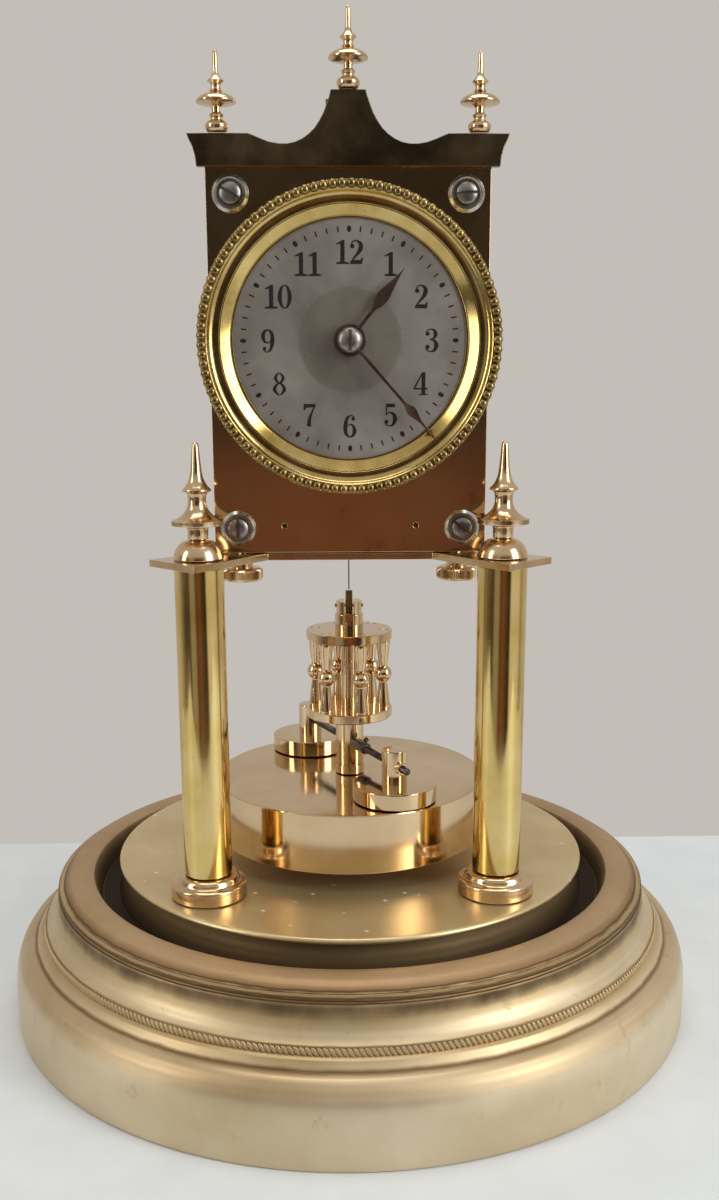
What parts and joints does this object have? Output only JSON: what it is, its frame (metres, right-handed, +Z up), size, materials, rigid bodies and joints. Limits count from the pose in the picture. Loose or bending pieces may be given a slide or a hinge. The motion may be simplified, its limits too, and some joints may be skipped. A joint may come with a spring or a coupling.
{
  "type": "anniversary clock",
  "caption": "Torsion-pendulum mantel clock: round spun base, twin columns, dial with beaded bezel in a crowned plate, and a heavy disc pendulum hung on a thin ribbon",
  "frame": {"origin": "centre of the base's bottom rim, under the pendulum's axis", "axes": "+Z up; the dial faces -Y; +X is the viewer's right when facing the dial"},
  "size_m": [0.2218, 0.2218, 0.2985],
  "materials": {
    "aged_brass": "satin, aged",
    "polished_brass": "polished",
    "column_brass": "polished, pale yellow",
    "plate_brass": "mirror-polished, lacquered",
    "copper_gold": "mirror-polished, reddish",
    "tarnished_brass": "tarnished",
    "train_brass": "satin",
    "silvered": "silvered, matt",
    "steel": "polished, dark",
    "bright_steel": "polished"
  },
  "bodies": {
    "stand": {"base_shell": "aged_brass", "platform_disc": "polished_brass", "foot_left": "polished_brass", "foot_right": "polished_brass", "column_left": "column_brass", "column_right": "column_brass", "tie_bolt_left": "steel", "tie_bolt_right": "steel", "movement_platform": "polished_brass", "cap_dome_left": "polished_brass", "cap_dome_right": "polished_brass", "column_finial_left": "polished_brass", "column_finial_right": "polished_brass", "thumbscrew_left": "polished_brass", "thumbscrew_right": "polished_brass", "front_plate": "plate_brass", "back_plate": "plate_brass", "pillar_upper_left": "train_brass", "pillar_upper_right": "train_brass", "pillar_lower_left": "train_brass", "pillar_lower_right": "train_brass", "front_screw_upper_left": "steel", "front_screw_upper_right": "steel", "front_screw_lower_left": "steel", "front_screw_lower_right": "steel", "front_washer_upper_left": "bright_steel", "front_washer_upper_right": "bright_steel", "front_washer_lower_left": "bright_steel", "front_washer_lower_right": "bright_steel", "crown": "tarnished_brass", "crown_finial_left": "polished_brass", "crown_finial_centre": "polished_brass", "crown_finial_right": "polished_brass", "bezel": "column_brass", "dial": "silvered", "suspension_bracket": "polished_brass", "suspension_ribbon": "bright_steel"},
    "minute_hand_body": {"minute_hand": "steel", "hand_nut": "bright_steel", "cannon_pinion": "steel"},
    "minute_wheel_body": {"minute_wheel": "train_brass"},
    "hour_hand_body": {"hour_hand": "steel", "hour_wheel": "train_brass"},
    "centre_wheel_body": {"centre_wheel": "train_brass"},
    "second_wheel_body": {"second_wheel": "train_brass"},
    "barrel_body": {"barrel": "train_brass", "mainspring": "steel"},
    "third_wheel_body": {"third_wheel": "train_brass"},
    "escape_wheel_body": {"escape_wheel": "train_brass"},
    "winding_body": {"winding_arbor": "steel"},
    "click_body": {"click": "steel"},
    "anchor_body": {"anchor": "steel"},
    "fork_body": {"fork": "train_brass"},
    "pendulum": {"pendulum_disc": "copper_gold", "gallery_lower": "copper_gold", "gallery_top": "copper_gold", "hook": "copper_gold"},
    "weight_front_body": {"weight_front": "copper_gold"},
    "weight_back_body": {"weight_back": "copper_gold"},
    "regulating_screw_body": {"regulating_screw": "steel"}
  },
  "joints": [
    {"name": "centre_wheel_spin", "type": "hinge", "parent": "stand", "child": "centre_wheel_body", "pos_m": [0, -0.01985, 0.2117], "axis": [0, 1, 0], "continuous": true},
    {"name": "minute_hand_turn", "type": "hinge", "parent": "stand", "child": "minute_hand_body", "pos_m": [0, -0.01985, 0.2117], "axis": [0, 1, 0], "continuous": true},
    {"name": "minute_wheel_spin", "type": "hinge", "parent": "stand", "child": "minute_wheel_body", "pos_m": [0.01, -0.01985, 0.2117], "axis": [0, 1, 0], "continuous": true},
    {"name": "hour_hand_turn", "type": "hinge", "parent": "stand", "child": "hour_hand_body", "pos_m": [0, -0.01985, 0.2117], "axis": [0, 1, 0], "continuous": true},
    {"name": "second_wheel_spin", "type": "hinge", "parent": "stand", "child": "second_wheel_body", "pos_m": [0.00293, -0.01985, 0.19565], "axis": [0, 1, 0], "continuous": true},
    {"name": "barrel_spin", "type": "hinge", "parent": "stand", "child": "barrel_body", "pos_m": [-0.015, -0.01985, 0.18], "axis": [0, 1, 0], "continuous": true},
    {"name": "third_wheel_spin", "type": "hinge", "parent": "stand", "child": "third_wheel_body", "pos_m": [-0.00564, -0.01985, 0.22547], "axis": [0, 1, 0], "continuous": true},
    {"name": "escape_wheel_spin", "type": "hinge", "parent": "stand", "child": "escape_wheel_body", "pos_m": [0, -0.01985, 0.2382], "axis": [0, 1, 0], "continuous": true},
    {"name": "winding_turn", "type": "hinge", "parent": "stand", "child": "winding_body", "pos_m": [-0.015, -0.01985, 0.18], "axis": [0, 1, 0], "continuous": true},
    {"name": "click_lift", "type": "hinge", "parent": "stand", "child": "click_body", "pos_m": [-0.0137, -0.007, 0.1912], "axis": [0, 1, 0], "range_deg": [0, 12], "stiffness_Nm_per_rad": 0.002},
    {"name": "anchor_rock", "type": "hinge", "parent": "stand", "child": "anchor_body", "pos_m": [0, -0.01985, 0.2518], "axis": [0, 1, 0], "range_deg": [-3, 3]},
    {"name": "fork_turn", "type": "hinge", "parent": "stand", "child": "fork_body", "pos_m": [0, 0, 0.2625], "axis": [0, 0, 1], "range_deg": [-3, 3]},
    {"name": "pendulum_turn", "type": "hinge", "parent": "stand", "child": "pendulum", "pos_m": [0, 0, 0.0644], "axis": [0, 0, 1], "range_deg": [-165, 165], "stiffness_Nm_per_rad": 0.00016},
    {"name": "weight_front_slide", "type": "slide", "parent": "pendulum", "child": "weight_front_body", "axis": [0.4258, -0.9048, 0], "range_m": [-0.012, 0.0015]},
    {"name": "weight_back_slide", "type": "slide", "parent": "pendulum", "child": "weight_back_body", "axis": [-0.4258, 0.9048, 0], "range_m": [-0.012, 0.0015]},
    {"name": "regulating_screw_turn", "type": "hinge", "parent": "pendulum", "child": "regulating_screw_body", "pos_m": [0, 0, 0.0848], "axis": [0.4258, -0.9048, 0], "range_deg": [-4330, 550]}
  ],
  "couplings": [
    {"joint": "minute_hand_turn", "follows": "centre_wheel_spin", "ratio": 1},
    {"joint": "minute_wheel_spin", "follows": "centre_wheel_spin", "ratio": -0.33333},
    {"joint": "hour_hand_turn", "follows": "centre_wheel_spin", "ratio": 0.083333},
    {"joint": "second_wheel_spin", "follows": "centre_wheel_spin", "ratio": -0.33333},
    {"joint": "barrel_spin", "follows": "centre_wheel_spin", "ratio": 0.083333},
    {"joint": "third_wheel_spin", "follows": "centre_wheel_spin", "ratio": -3},
    {"joint": "escape_wheel_spin", "follows": "centre_wheel_spin", "ratio": 9},
    {"joint": "fork_turn", "follows": "anchor_rock", "ratio": 0.955},
    {"joint": "weight_back_slide", "follows": "weight_front_slide", "ratio": 1},
    {"joint": "regulating_screw_turn", "follows": "weight_front_slide", "rad_per_m": 6283.2}
  ]
}
